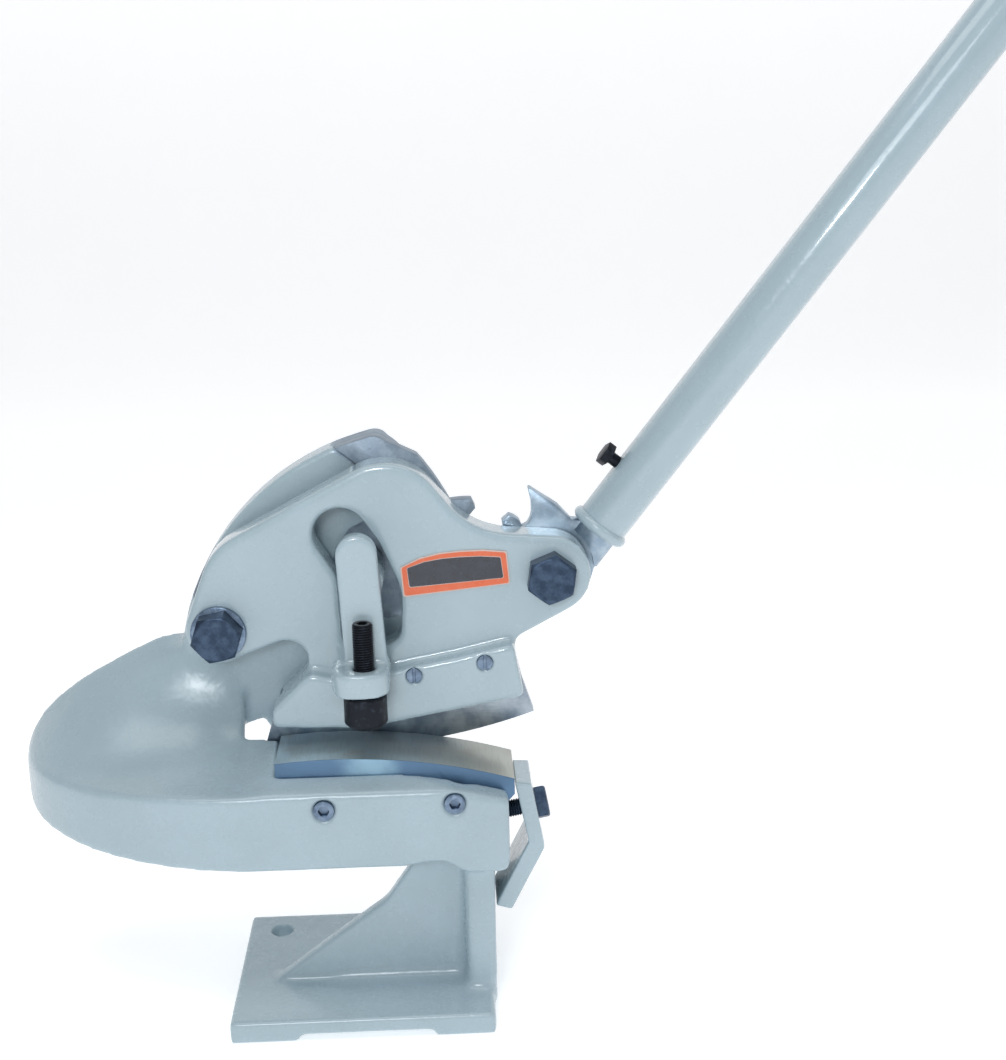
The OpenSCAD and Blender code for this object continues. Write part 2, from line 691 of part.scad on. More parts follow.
module handle_end_cap() {
    color([0.1, 0.1, 0.11]) on_handle(tube_s1) rotate_extrude()
        polygon([[0, -18], [tube_d / 2 - tube_wall, -18], [tube_d / 2 - tube_wall, 0],
            [tube_d / 2 + 1, 0], [tube_d / 2 + 1, 3], [tube_d / 2 - 2, 6], [0, 7]]);
}

frame_casting();
tooth_sector();
sector_screws();
lower_blade();
lower_blade_screws();
blade_clamp();
clamp_screw();
arm_pivot_bolt();
arm_pivot_washers();
arm_pivot_nut();
hold_down_bracket();
hold_down_bolt();
hold_down_screw();
hold_down_foot();
blade_arm();
arm_bush();
upper_blade();
upper_blade_screws();
name_plate();
lever_pivot_bolt();
lever_pivot_washer();
lever_pivot_nut();
gear_lever();
lever_bush();
handle_collar();
handle_tube();
handle_lock_screw();
handle_end_cap();
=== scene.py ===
"""Looks of a hand lever plate shear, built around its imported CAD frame. Lengths are in metres."""

import json
import math

import bmesh
import bpy
import numpy as np
from mathutils import Matrix, Vector


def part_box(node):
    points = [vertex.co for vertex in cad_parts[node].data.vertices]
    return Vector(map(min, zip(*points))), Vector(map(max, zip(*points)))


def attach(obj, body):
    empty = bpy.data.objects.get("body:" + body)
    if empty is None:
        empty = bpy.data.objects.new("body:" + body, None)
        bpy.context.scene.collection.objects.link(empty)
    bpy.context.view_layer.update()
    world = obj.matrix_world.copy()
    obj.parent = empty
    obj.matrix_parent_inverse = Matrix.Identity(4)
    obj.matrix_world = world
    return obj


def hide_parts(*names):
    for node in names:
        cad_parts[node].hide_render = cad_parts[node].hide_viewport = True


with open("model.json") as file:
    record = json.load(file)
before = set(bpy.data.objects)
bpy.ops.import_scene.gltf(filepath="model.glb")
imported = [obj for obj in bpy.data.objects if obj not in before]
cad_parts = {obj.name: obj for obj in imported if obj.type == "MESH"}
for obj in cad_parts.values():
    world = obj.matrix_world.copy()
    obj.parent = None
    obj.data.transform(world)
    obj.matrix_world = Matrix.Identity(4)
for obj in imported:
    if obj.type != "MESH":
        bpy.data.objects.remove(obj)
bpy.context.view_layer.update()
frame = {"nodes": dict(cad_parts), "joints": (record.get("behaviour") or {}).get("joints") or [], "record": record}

MM = 0.001
# Faces of the castings, by which their smoothed and bare places are found
TABLE_FRONT = -0.062
TABLE_LOW = 0.126
FOOT_TOP = 0.018
POST_LEFT = 0.084
WEB_FRONT = -0.026
WEB_BACK = -0.012
ARCH_FRONT = 0.046
ARM_BACK = 0.038
# The table's left end is a quarter ellipse, drawn in the CAD as this many chords
LOBE_CENTRE = np.array([-0.090, 0.077])
LOBE_HALF = np.array([0.190, 0.139])
LOBE_CHORDS = 16
# Holes near the foot's back edge
BASE_HOLES_X = (-0.075, 0.060)
BASE_HOLES_Y = 0.059
JOINTS = {joint["name"]: joint for joint in frame["joints"]}
ARM_PIVOT = Vector(JOINTS["arm_swing"]["pos_m"])
LEVER_PIVOT = Vector(JOINTS["lever_swing"]["pos_m"])
# Centre of the round face milled into the arch behind the arm's window
WINDOW_SEAT = Vector((0.0278, 0.008, 0.348))
SCREW_SEGMENTS = 48
HEAD_SEGMENTS = 72
BODY_OF = {
    name: body
    for body, names in frame["record"]["behaviour"]["bodies"].items()
    for name in names
}


# ---------- mesh helpers ----------
def add_piece(name, mesh, node, finish):
    """Puts a mesh in the scene in place of a CAD node, on that node's body."""
    piece = bpy.data.objects.new(name, mesh)
    bpy.context.scene.collection.objects.link(piece)
    for one in finish if isinstance(finish, (list, tuple)) else [finish]:
        mesh.materials.append(one)
    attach(piece, BODY_OF[node])
    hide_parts(node)
    return piece


def welded(node, flatten=True):
    """A bmesh copy of a CAD node with shared corners and whole flat faces."""
    bm = bmesh.new()
    bm.from_mesh(frame["nodes"][node].data)
    bmesh.ops.remove_doubles(bm, verts=bm.verts, dist=2e-6)
    if flatten:
        bmesh.ops.dissolve_limit(
            bm, angle_limit=math.radians(0.8), verts=bm.verts, edges=bm.edges
        )
    return bm


def finished_mesh(bm, name, sharp_deg=32):
    """Turns a bmesh into a smooth mesh, with sharp edges above an angle unless it is 0."""
    bmesh.ops.recalc_face_normals(bm, faces=bm.faces)
    mesh = bpy.data.meshes.new(name)
    bm.to_mesh(mesh)
    bm.free()
    mesh.shade_smooth()
    if sharp_deg:
        mesh.set_sharp_from_angle(angle=math.radians(sharp_deg))
    return mesh


def applied(piece):
    """Turns a piece's modifiers into plain mesh."""
    graph = bpy.context.evaluated_depsgraph_get()
    mesh = bpy.data.meshes.new_from_object(piece.evaluated_get(graph))
    piece.modifiers.clear()
    piece.data = mesh
    return mesh


def crisp(node, finish, width, segments=2):
    """A machined piece: the CAD shape with small even bevels, width mm wide, on its edges."""
    bevel_above, sharp_above = math.radians(30), math.radians(38)
    mesh = finished_mesh(welded(node), node + "_fine", 0)
    piece = add_piece(node + "_fine", mesh, node, finish)
    bevel = piece.modifiers.new("bevel", "BEVEL")
    bevel.width = width * MM
    bevel.segments = segments
    bevel.limit_method = "ANGLE"
    bevel.angle_limit = bevel_above
    bevel.harden_normals = False
    mesh = applied(piece)
    mesh.shade_smooth()
    mesh.set_sharp_from_angle(angle=sharp_above)


def read_points(mesh):
    points = np.zeros(len(mesh.vertices) * 3)
    mesh.vertices.foreach_get("co", points)
    return points.reshape(-1, 3)


def write_points(mesh, points):
    mesh.vertices.foreach_set("co", points.ravel())
    mesh.update()


def read_normals(mesh):
    normals = np.zeros(len(mesh.vertices) * 3)
    mesh.vertices.foreach_get("normal", normals)
    return normals.reshape(-1, 3)


def relax(mesh, steps, where):
    """Moves points up to half way to the mean of their neighbours; where runs 0 to 1."""
    share = 0.5 * where
    points = read_points(mesh)
    edges = np.zeros(len(mesh.edges) * 2, int)
    mesh.edges.foreach_get("vertices", edges)
    a, b = edges.reshape(-1, 2).T
    n = len(points)
    count = np.maximum(np.bincount(a, minlength=n) + np.bincount(b, minlength=n), 1)
    for _ in range(steps):
        sums = [
            np.bincount(a, points[b, k], n) + np.bincount(b, points[a, k], n)
            for k in range(3)
        ]
        points += share[:, None] * (np.stack(sums, 1) / count[:, None] - points)
    write_points(mesh, points)


def ramp01(x, low, high):
    """Smooth rise from 0 at low to 1 at high."""
    t = np.clip((x - low) / (high - low), 0, 1)
    return t * t * (3 - 2 * t)


def cast_waves(mesh, depth, still):
    """Sinks the skin unevenly by up to depth, as a cast and painted surface is."""
    rng = np.random.default_rng(7)
    shortest, longest = 0.022, 0.07
    # The sum of so many waves, divided by spread, stays mostly within half a unit
    count, spread = 9, 12
    points = read_points(mesh)
    total = np.zeros(len(points))
    for _ in range(count):
        direction = rng.normal(size=3)
        wavelength = rng.uniform(shortest, longest)
        direction *= 2 * math.pi / wavelength / np.linalg.norm(direction)
        total += np.sin(points @ direction + rng.uniform(0, 6.28))
    sink = depth * (0.5 + total / spread).clip(0, 1) * (1 - still)
    write_points(mesh, points - read_normals(mesh) * sink[:, None])


def cast(node, finish, voxel, steps, waves, shape=None, still=None):
    """A painted casting: the CAD shape with rounded edges and a slightly wavy skin.

    voxel is the skin's grid and waves its unevenness, both in mm. More steps round the
    edges further; shape changes the mesh first, and still says which points stay true.
    """
    mesh = finished_mesh(welded(node, flatten=False), node + "_skin", 0)
    piece = add_piece(node + "_skin", mesh, node, finish)
    remesh = piece.modifiers.new("skin", "REMESH")
    remesh.mode = "VOXEL"
    remesh.voxel_size = voxel * MM
    remesh.adaptivity = 0
    mesh = applied(piece)
    points = read_points(mesh)
    held = still(points) if still else np.zeros(len(points))
    if shape:
        shape(mesh)
    relax(mesh, steps, 1 - 0.8 * held)
    cast_waves(mesh, waves * MM, held)
    mesh.shade_smooth()


def skin_rows(bm, rows):
    """A closed skin over rings that have the same number of points each."""
    rings = [[bm.verts.new(p) for p in row] for row in rows]
    n = len(rings[0])
    for low, high in zip(rings, rings[1:]):
        for k in range(n):
            bm.faces.new((low[k], low[(k + 1) % n], high[(k + 1) % n], high[k]))
    bm.faces.new(list(reversed(rings[0])))
    bm.faces.new(rings[-1])


def turned(profile, place, segments=SCREW_SEGMENTS, turn=0.0):
    """Rings about a local Z axis; each profile row is (radius function or number, height)."""
    rows = []
    for radius, height in profile:
        row = []
        for k in range(segments):
            a = 2 * math.pi * k / segments + turn
            r = radius(a - turn) if callable(radius) else radius
            row.append(place @ Vector((r * math.cos(a), r * math.sin(a), height)))
        rows.append(row)
    return rows


def hex_radius(across_flats):
    """Radius of a hexagon as a function of the angle, a corner lying at angle 0."""

    def radius(a):
        return across_flats / 2 / math.cos((a % (math.pi / 3)) - math.pi / 6)

    return radius


def thread_rows(radius, pitch, start, end, place, per_turn=8, fade=1.0):
    """Rings of a screw thread along local Z, thinned over fade pitches at both ends."""
    depth = 0.5 * pitch
    flank = 2.6
    rows = []
    count = max(2, round((end - start) / pitch * per_turn))
    for i in range(count + 1):
        z = start + (end - start) * i / count
        row = []
        for k in range(SCREW_SEGMENTS):
            a = 2 * math.pi * k / SCREW_SEGMENTS
            phase = (z / pitch - k / SCREW_SEGMENTS) % 1.0
            cut = max(0.0, 1 - abs(phase - 0.5) * flank)
            edge = min(z - start, end - z)
            faded = max(0.0, 1 - edge / (pitch * fade))
            r = radius - depth * max(cut, faded)
            row.append(place @ Vector((r * math.cos(a), r * math.sin(a), z)))
        rows.append(row)
    return rows


def hex_rows(across, height, place, chamfer, turn):
    """Rings of a hexagon head on local Z from 0 to height, cone-chamfered at the far end."""
    side = hex_radius(across)
    inner = across / 2
    depth = 0.992 * inner * chamfer
    slope, parts = 1.75, 7
    heights = [0.0] + [height - depth * (1 - i / parts) for i in range(parts + 1)]
    profile = []
    for z in heights:
        cone = 0.965 * inner + (height - z) * slope
        profile.append((lambda a, c=cone: min(side(a), c), z))
    # A slight rim round the end face
    profile.append((0.90 * inner, height + 0.00025))
    profile.append((0.86 * inner, height + 0.0001))
    return turned(profile, place, HEAD_SEGMENTS, turn)


def axis_place(point, direction):
    """Matrix whose Z runs along a direction from point; the direction is not straight up."""
    z = Vector(direction).normalized()
    x = Vector((0, 0, 1)).cross(z).normalized()
    y = z.cross(x)
    turn = Matrix((x, y, z)).transposed().to_4x4()
    return Matrix.Translation(point) @ turn


# ---------- node material helpers ----------
class Look:
    """Builds one node material; sockets are given by name."""

    def __init__(self, name):
        self.material = bpy.data.materials.new(name)
        self.material.use_nodes = True
        self.tree = self.material.node_tree
        self.shader = self.tree.nodes["Principled BSDF"]
        self.object = self.add("ShaderNodeTexCoord").outputs["Object"]

    def add(self, kind, inputs=None, **settings):
        node = self.tree.nodes.new(kind)
        for key, value in settings.items():
            setattr(node, key, value)
        for key, value in (inputs or {}).items():
            self.put(node.inputs[key], value)
        return node

    def put(self, socket, value):
        if isinstance(value, bpy.types.NodeSocket):
            self.tree.links.new(value, socket)
        else:
            socket.default_value = value

    def shade(self, **values):
        names = {"color": "Base Color", "metal": "Metallic", "rough": "Roughness"}
        names.update(coat="Coat Weight", coat_rough="Coat Roughness")
        names.update(normal="Normal", specular="Specular IOR Level")
        for key, value in values.items():
            self.put(self.shader.inputs[names[key]], value)
        return self.material

    def noise(self, scale, detail=3.0, rough=0.5, vector=None):
        inputs = {"Scale": scale, "Detail": detail, "Roughness": rough}
        inputs["Vector"] = vector or self.object
        return self.add("ShaderNodeTexNoise", inputs).outputs["Fac"]

    def stretched(self, x, y, z):
        inputs = {0: self.object, 1: (x, y, z)}
        return self.add("ShaderNodeVectorMath", inputs, operation="MULTIPLY").outputs[0]

    def steps(self, value, low, high, to_low=0.0, to_high=1.0):
        inputs = {"Value": value, "From Min": low, "From Max": high}
        inputs.update({"To Min": to_low, "To Max": to_high})
        node = self.add("ShaderNodeMapRange", inputs)
        node.interpolation_type = "SMOOTHSTEP"
        return node.outputs[0]

    def mix(self, share, a, b):
        node = self.add("ShaderNodeMix", data_type="RGBA")
        self.put(node.inputs["Factor"], share)
        self.put(node.inputs["A"], a)
        self.put(node.inputs["B"], b)
        return node.outputs["Result"]

    def mix_value(self, share, a, b):
        node = self.add("ShaderNodeMix", data_type="FLOAT")
        self.put(node.inputs["Factor"], share)
        self.put(node.inputs["A"], a)
        self.put(node.inputs["B"], b)
        return node.outputs["Result"]

    def calc(self, operation, a, b=0.0):
        node = self.add("ShaderNodeMath", operation=operation)
        self.put(node.inputs[0], a)
        self.put(node.inputs[1], b)
        return node.outputs[0]

    def all_of(self, *masks):
        """Product of masks that each run from 0 to 1."""
        both = masks[0]
        for mask in masks[1:]:
            both = self.calc("MULTIPLY", both, mask)
        return both

    def bump(self, height, distance, strength, normal=None):
        inputs = {"Height": height, "Distance": distance, "Strength": strength}
        if normal is not None:
            inputs["Normal"] = normal
        return self.add("ShaderNodeBump", inputs).outputs[0]

    def away_from(self, point):
        """Distance from the line through a point along Y."""
        kind = "ShaderNodeVectorMath"
        inputs = {0: self.object, 1: tuple(point)}
        moved = self.add(kind, inputs, operation="SUBTRACT")
        inputs = {0: moved.outputs[0], 1: (1, 0, 1)}
        flat = self.add(kind, inputs, operation="MULTIPLY")
        inputs = {0: flat.outputs[0]}
        return self.add(kind, inputs, operation="LENGTH").outputs["Value"]

    def split(self):
        return self.add("ShaderNodeSeparateXYZ", {0: self.object}).outputs


def rgb(r, g, b):
    """Shader colour from 0-255 screen values."""

    def one(c):
        c /= 255
        return c / 12.92 if c < 0.04045 else ((c + 0.055) / 1.055) ** 2.4

    return (one(r), one(g), one(b), 1.0)


# ---------- materials ----------
def enamel_parts(look):
    """Colour, roughness and normal of the grey-green enamel."""
    drift = look.noise(14, 3, 0.55)
    tone = look.mix(
        look.steps(drift, 0.3, 0.7), rgb(163, 182, 190), rgb(168, 187, 196)
    )
    grain = look.noise(900, 2, 0.6)
    tone = look.mix(look.steps(grain, 0.56, 0.8, 0, 0.12), tone, rgb(160, 172, 170))
    speck = look.noise(260, 4, 0.7)
    tone = look.mix(look.steps(speck, 0.72, 0.78, 0, 0.35), tone, rgb(136, 143, 138))
    rough = look.mix_value(look.noise(60, 4, 0.6), 0.2, 0.34)
    peel = look.bump(look.noise(240, 2, 0.5), 0.0005, 0.2)
    run = look.bump(look.noise(60, 2, 0.5), 0.0016, 0.3, peel)
    return tone, rough, run


def enamel(name="enamel"):
    look = Look(name)
    tone, rough, normal = enamel_parts(look)
    return look.shade(color=tone, rough=rough, normal=normal, coat=0.8, coat_rough=0.07)


def bare_patch(look):
    """Mottled machined steel, as colour, roughness and normal."""
    blotch = look.noise(70, 5, 0.65)
    tone = look.mix(
        look.steps(blotch, 0.3, 0.7), rgb(128, 142, 156), rgb(156, 170, 182)
    )
    stain = look.noise(28, 5, 0.65)
    tone = look.mix(look.steps(stain, 0.52, 0.75, 0, 0.45), tone, rgb(104, 110, 120))
    speck = look.noise(380, 4, 0.7)
    tone = look.mix(look.steps(speck, 0.6, 0.72, 0, 0.5), tone, rgb(96, 98, 100))
    rough = look.mix_value(blotch, 0.4, 0.55)
    pits = look.bump(look.noise(420, 4, 0.6), 0.0006, 0.3)
    return tone, rough, pits


def frame_enamel():
    """Enamel with the machined and worn places of the frame left bare."""
    look = Look("frame_enamel")
    tone, rough, normal = enamel_parts(look)
    bare_tone, bare_rough, bare_normal = bare_patch(look)
    x, y, z = look.split()
    ragged = look.calc("MULTIPLY", look.calc("SUBTRACT", look.noise(120, 3), 0.5), 0.004)
    reach = look.calc("ADD", look.away_from(ARM_PIVOT), ragged)
    # The arch's machined rim is bare right of a slanted edge and short of its back face
    slope = look.calc("MULTIPLY", look.calc("SUBTRACT", y, ARM_BACK), 0.267)
    slant = look.calc("ADD", look.calc("ADD", x, slope), ragged)
    ring = look.all_of(
        look.steps(reach, 0.1655, 0.1665),
        look.steps(slant, -0.0075, -0.0062),
        look.steps(look.calc("ADD", y, ragged), 0.0745, 0.0735),
        look.steps(z, 0.31, 0.312),
    )
    seat = look.calc("ADD", look.away_from(WINDOW_SEAT), ragged)
    milled = look.all_of(
        look.steps(seat, 0.0432, 0.0425),
        look.steps(y, ARCH_FRONT + 0.004, ARCH_FRONT + 0.003),
    )
    # Worn round the pivot, where the arm rubs
    worn = look.all_of(
        look.steps(reach, 0.062, 0.060),
        look.steps(z, 0.325, 0.330),
        look.steps(y, 0.062, 0.060),
    )
    bare = look.calc("MAXIMUM", ring, look.calc("MAXIMUM", milled, worn))
    node = look.add("ShaderNodeMix", data_type="VECTOR")
    look.put(node.inputs["Factor"], bare)
    look.put(node.inputs["A"], normal)
    look.put(node.inputs["B"], bare_normal)
    return look.shade(
        color=look.mix(bare, tone, bare_tone),
        rough=look.mix_value(bare, rough, bare_rough),
        metal=look.calc("MULTIPLY", bare, 0.85),
        normal=node.outputs["Result"],
        coat=look.mix_value(bare, 0.25, 0.0),
        coat_rough=0.2,
    )


def bare_steel():
    look = Look("bare_steel")
    tone, rough, normal = bare_patch(look)
    return look.shade(color=tone, rough=rough, normal=normal, metal=0.85)


def ground_steel(name, dark, light, scratch=(60, 900, 900), base_rough=0.26):
    """Steel with grinding lines along one axis and faint handling stains."""
    look = Look(name)
    lines = look.noise(1.0, 3, 0.6, look.stretched(*scratch))
    blotch = look.noise(45, 4, 0.6)
    tone = look.mix(look.steps(blotch, 0.34, 0.68), dark, light)
    tone = look.mix(look.steps(lines, 0.45, 0.8, 0, 0.35), tone, dark)
    rough = look.mix_value(blotch, base_rough, base_rough + 0.16)
    normal = look.bump(lines, 0.0004, 0.25)
    return look.shade(color=tone, rough=rough, normal=normal, metal=1.0)


def lower_blade_steel():
    """Ground steel with brown oil stains here and there; painted reflection makes its top lighter at both ends and
    dimmer in the middle, and paints its front face blue with a lighter painted highlight.
    """
    look = Look("lower_blade_steel")
    blade_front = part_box("lower_blade")[0].y
    x, y, _ = look.split()
    lines = look.noise(1.0, 3, 0.6, look.stretched(900, 40, 900))
    blotch = look.noise(30, 4, 0.55)
    shift = look.calc("MULTIPLY", look.calc("SUBTRACT", blotch, 0.5), 0.05)
    warped = look.calc("ADD", x, shift)
    # Painted reflection: the top is lighter at both ends and dimmer in the middle
    left = look.steps(warped, -0.06, 0.03)
    right = look.steps(warped, 0.045, 0.1)
    tone = look.mix(left, rgb(190, 210, 218), rgb(172, 184, 188))
    tone = look.mix(right, tone, rgb(192, 194, 186))
    tone = look.mix(look.steps(blotch, 0.5, 0.75, 0, 0.4), tone, rgb(160, 144, 122))
    tone = look.mix(look.steps(lines, 0.45, 0.8, 0, 0.25), tone, rgb(120, 124, 128))
    # Painted reflection: the front face is painted blue, with a lighter painted highlight patch
    front = look.steps(y, blade_front + 0.0012, blade_front + 0.0004)
    off_highlight = look.steps(look.calc("ABSOLUTE", look.calc("ADD", warped, -0.012)), 0.0, 0.03)
    front_reflection = look.mix(off_highlight, rgb(150, 184, 204), rgb(98, 128, 158))
    tone = look.mix(front, tone, front_reflection)
    rough = look.mix_value(blotch, 0.36, 0.5)
    normal = look.bump(lines, 0.0003, 0.3)
    return look.shade(color=tone, rough=rough, normal=normal, metal=0.75)


def black_oxide():
    look = Look("black_oxide")
    wear = look.noise(180, 4, 0.6)
    tone = look.mix(look.steps(wear, 0.5, 0.75, 0, 0.6), rgb(26, 30, 38), rgb(62, 70, 82))
    rough = look.mix_value(wear, 0.28, 0.5)
    normal = look.bump(look.noise(600, 3), 0.0003, 0.3)
    return look.shade(color=tone, rough=rough, normal=normal, metal=0.7)


def dark_bolt():
    """Blued forged bolt with a finely pitted skin."""
    look = Look("dark_bolt")
    blotch = look.noise(110, 4, 0.6)
    tone = look.mix(look.steps(blotch, 0.35, 0.7), rgb(50, 64, 84), rgb(74, 92, 114))
    rough = look.mix_value(blotch, 0.3, 0.48)
    pits = look.bump(look.noise(500, 4, 0.65), 0.0005, 0.4)
    normal = look.bump(look.noise(70, 2), 0.0015, 0.3, pits)
    return look.shade(color=tone, rough=rough, normal=normal, metal=0.8)


def zinc():
    look = Look("zinc")
    spangle = look.add(
        "ShaderNodeTexVoronoi", {"Scale": 320.0, "Vector": look.object}
    ).outputs["Color"]
    grey = look.add("ShaderNodeRGBToBW", {"Color": spangle}).outputs[0]
    tone = look.mix(grey, rgb(96, 114, 136), rgb(136, 154, 174))
    tone = look.mix(look.steps(look.noise(60, 4), 0.5, 0.72, 0, 0.6), tone, rgb(84, 96, 114))
    rough = look.mix_value(look.noise(120, 4), 0.22, 0.42)
    normal = look.bump(look.noise(420, 3), 0.0003, 0.3)
    return look.shade(color=tone, rough=rough, normal=normal, metal=0.95)


def bronze():
    look = Look("bronze")
    blotch = look.noise(90, 4, 0.6)
    tone = look.mix(look.steps(blotch, 0.35, 0.7), rgb(150, 116, 64), rgb(196, 160, 98))
    lines = look.noise(1.0, 3, 0.5, look.stretched(700, 60, 700))
    rough = look.mix_value(blotch, 0.3, 0.45)
    normal = look.bump(lines, 0.0003, 0.3)
    return look.shade(color=tone, rough=rough, normal=normal, metal=0.9)


def printed(name, colour, shadow):
    """Film of the label, faintly glossy and uneven."""
    look = Look(name)
    tone = look.mix(look.steps(look.noise(120, 3), 0.3, 0.75, 0, 0.5), colour, shadow)
    rough = look.mix_value(look.noise(80), 0.2, 0.34)
    normal = look.bump(look.noise(160, 2), 0.0004, 0.25)
    return look.shade(color=tone, rough=rough, normal=normal, coat=0.5)


def cap_plastic():
    look = Look("cap_plastic")
    tone = look.mix(look.steps(look.noise(150, 3), 0.4, 0.7), rgb(24, 25, 27), rgb(38, 39, 42))
    rough = look.mix_value(look.noise(90), 0.38, 0.55)
    normal = look.bump(look.noise(900, 2), 0.0003, 0.35)
    return look.shade(color=tone, rough=rough, normal=normal)


# ---------- castings ----------
def near_screws(points, node, head, reach):
    """1 within reach of the outer two screws of a row, whose heads have radius head."""
    fade = 0.004
    lo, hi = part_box(node)
    mask = np.zeros(len(points))
    for x, z in ((lo.x + head, lo.z + head), (hi.x - head, hi.z - head)):
        gap = np.hypot(points[:, 0] - x, points[:, 2] - z)
        mask = np.maximum(mask, 1 - ramp01(gap, reach, reach + fade))
    return mask


def frame_still(points):
    """Where the frame stays true: its bolt holes, its screw seats and partly its underside."""
    x, y, z = points.T
    under = 0.6 * (1 - ramp01(z, 0.0005, 0.003))
    low = 1 - ramp01(z, FOOT_TOP + 0.0005, FOOT_TOP + 0.0045)
    holes = np.zeros(len(points))
    for hole_x in BASE_HOLES_X:
        gap = np.hypot(x - hole_x, y - BASE_HOLES_Y)
        holes = np.maximum(holes, (1 - ramp01(gap, 0.0105, 0.013)) * low)
    front = 1 - ramp01(y, TABLE_FRONT + 0.002, TABLE_FRONT + 0.012)
    seats = near_screws(points, "lower_blade_screws", 0.008, 0.010)
    return np.maximum(np.maximum(under, holes), seats * front)


def arm_still(points):
    """The arm's screw seats and its machined back stay true."""
    y = points[:, 1]
    back = ramp01(y, ARM_BACK - 0.0025, ARM_BACK - 0.001)
    front = 1 - ramp01(y, 0.0, 0.004)
    seats = near_screws(points, "upper_blade_screws", 0.0062, 0.0078)
    return np.maximum(back, seats * front)


def lobe_share(points):
    """Points as shares of the ellipse's half axes, and their reach from its centre."""
    flat = (points[:, :2] - LOBE_CENTRE) / LOBE_HALF
    return flat, np.hypot(*flat.T)


def frame_shape(mesh):
    """Turns the table's chords into a true ellipse and lets its top sweep into the arch."""
    points = read_points(mesh)
    flat, reach = lobe_share(points)
    part = math.pi / 2 / LOBE_CHORDS
    angle = np.arctan2(-flat[:, 1], -flat[:, 0])
    middle = (np.floor(angle / part) + 0.5) * part
    grow = np.cos(angle - middle) / math.cos(part / 2)
    core, top = 0.5, 0.262
    inside = (points[:, :2] < LOBE_CENTRE).all(axis=1) & (reach > core)
    inside &= (points[:, 2] > TABLE_LOW - 0.006) & (points[:, 2] < top)
    scale = np.where(inside, 1 + (grow - 1) * ramp01(reach, core, 0.8), 1.0)
    points[:, :2] = LOBE_CENTRE + flat * scale[:, None] * LOBE_HALF
    write_points(mesh, points)
    relax(mesh, steps=420, where=top_share(mesh))
    relax(mesh, steps=14, where=skirt_share(mesh))
    relax(mesh, steps=40, where=post_share(mesh))


def top_share(mesh):
    """The swept top of the table, away from its rim, the slot and the milled face."""
    points = read_points(mesh)
    x, y, z = points.T
    up = read_normals(mesh)[:, 2]
    reach = lobe_share(points)[1]
    off_rim = np.where(
        x < LOBE_CENTRE[0],
        1 - ramp01(reach, 0.93, 0.965),
        ramp01(y, TABLE_FRONT + 0.004, TABLE_FRONT + 0.012),
    )
    height = ramp01(z, 0.186, 0.190) * (1 - ramp01(z, 0.300, 0.330))
    # Above the slot the sweep runs further right than beside it
    left = np.where(z > 0.243, 1 - ramp01(x, -0.082, -0.060), 1 - ramp01(x, -0.099, -0.094))
    facing = ramp01(up, -0.1, 0.15)
    # The arch and the ridge behind the sweep keep their shape
    arch = np.where(y > ARCH_FRONT + 0.004, 1 - ramp01(x, -0.152, -0.140), 1.0)
    arch = np.where((z > 0.300) & (x > -0.135), 0.0, arch)
    ridge = np.where(x < -0.140, 1 - ramp01(y, 0.066, 0.073), 1.0)
    return off_rim * height * left * facing * arch * ridge


def skirt_share(mesh):
    """The table's front rim, which is rounder than the other edges."""
    points = read_points(mesh)
    x, y, z = points.T
    reach = lobe_share(points)[1]
    rim = np.where(
        x < LOBE_CENTRE[0],
        ramp01(reach, 0.93, 0.96),
        1 - ramp01(y, TABLE_FRONT + 0.006, TABLE_FRONT + 0.014),
    )
    return rim * ramp01(z, TABLE_LOW - 0.006, TABLE_LOW) * (1 - ramp01(x, 0.100, 0.115))


def post_share(mesh):
    """The inside corners between the post, the web, the foot and the table."""
    x, y, z = read_points(mesh).T

    def beside(value, face, full, none):
        return 1 - ramp01(np.abs(value - face), full, none)

    corner = beside(x, POST_LEFT, 0.005, 0.009) * beside(y, WEB_FRONT - 0.004, 0.016, 0.024)
    corner *= ramp01(z, FOOT_TOP + 0.001, FOOT_TOP + 0.006)
    foot = beside(z, FOOT_TOP, 0.006, 0.010) * ramp01(x, -0.030, -0.010)
    foot *= ramp01(y, TABLE_FRONT + 0.002, TABLE_FRONT + 0.010)
    foot *= 1 - ramp01(y, WEB_BACK, WEB_BACK + 0.004)
    under = beside(z, TABLE_LOW + 0.002, 0.006, 0.010) * ramp01(x, 0.040, 0.048)
    under *= ramp01(y, TABLE_FRONT + 0.006, TABLE_FRONT + 0.012)
    return np.maximum(np.maximum(corner, foot), under)


def build_castings():
    painted = enamel()
    cast("frame_casting", frame_enamel(), 1.8, 9, 0.25, frame_shape, frame_still)
    cast("blade_arm", painted, 1.3, 22, 0.2, still=arm_still)
    cast("hold_down_bracket", painted, 1.0, 34, 0.15)
    cast("blade_clamp", painted, 0.9, 9, 0.12)


# ---------- machined steel ----------
def build_steel():
    steel = bare_steel()
    upper = ground_steel("blade_steel", rgb(128, 140, 154), rgb(172, 182, 190))
    lever = ground_steel(
        "lever_steel", rgb(140, 158, 174), rgb(184, 200, 212), (300, 300, 500), 0.3
    )
    crisp("tooth_sector", steel, 0.6)
    crisp("gear_lever", lever, 0.7)
    crisp("upper_blade", upper, 0.35)
    crisp("lower_blade", lower_blade_steel(), 0.4)
    brass = bronze()
    crisp("arm_bush", brass, 0.3)
    crisp("lever_bush", brass, 0.3)


# ---------- fasteners ----------
def turned_piece(node, slot, finish, *skins):
    """A piece made of closed skins of rings."""
    bm = bmesh.new()
    for rows in skins:
        skin_rows(bm, rows)
    add_piece(node + "_fine", finished_mesh(bm, node), node, finish)


